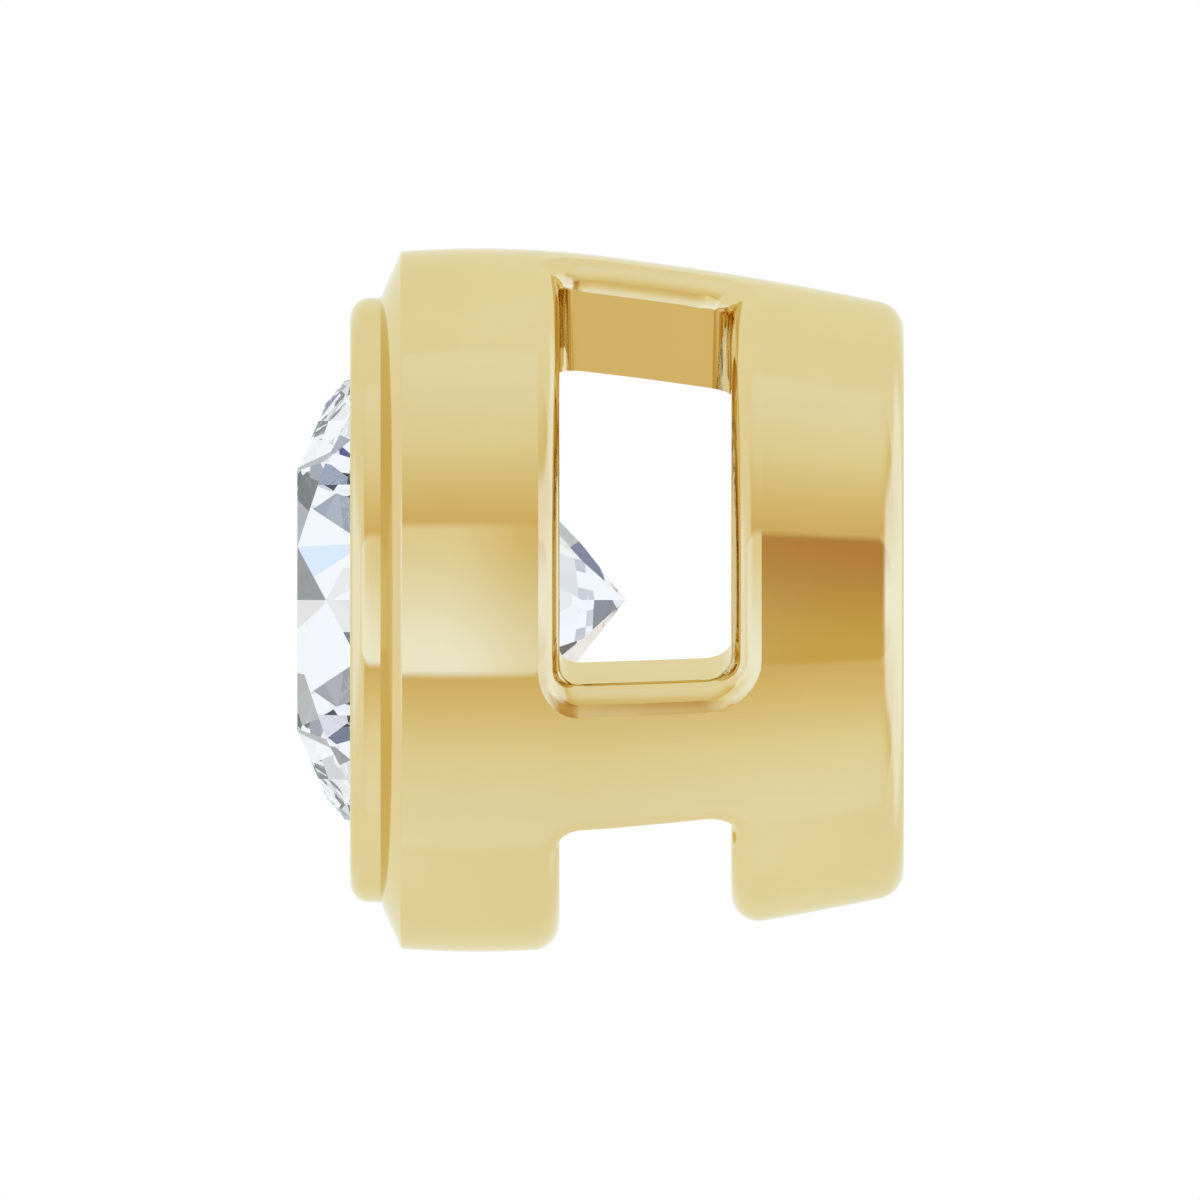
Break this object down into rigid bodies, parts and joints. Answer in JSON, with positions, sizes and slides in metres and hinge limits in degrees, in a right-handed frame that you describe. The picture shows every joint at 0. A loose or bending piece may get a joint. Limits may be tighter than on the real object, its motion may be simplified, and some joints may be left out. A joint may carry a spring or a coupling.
{
  "type": "slide pendant",
  "caption": "Hollow round gold slide pendant with a bezel-set round brilliant-cut stone and windows in its tapered wall, through which a neck chain runs behind the stone.",
  "frame": {"origin": "middle of the flat back face, which the pendant rests on", "axes": "+Z along the barrel's axis, the way the stone faces; +Y towards the pendant's top as it is worn; the chain runs along X"},
  "size_m": [0.007, 0.007, 0.0061],
  "materials": {
    "yellow_gold": "polished yellow gold, 14 carat",
    "clear_stone": "polished facets, colourless, refractive index 2.42"
  },
  "bodies": {
    "root": {"gold_slide": "yellow_gold", "round_stone": "clear_stone"}
  },
  "joints": []
}
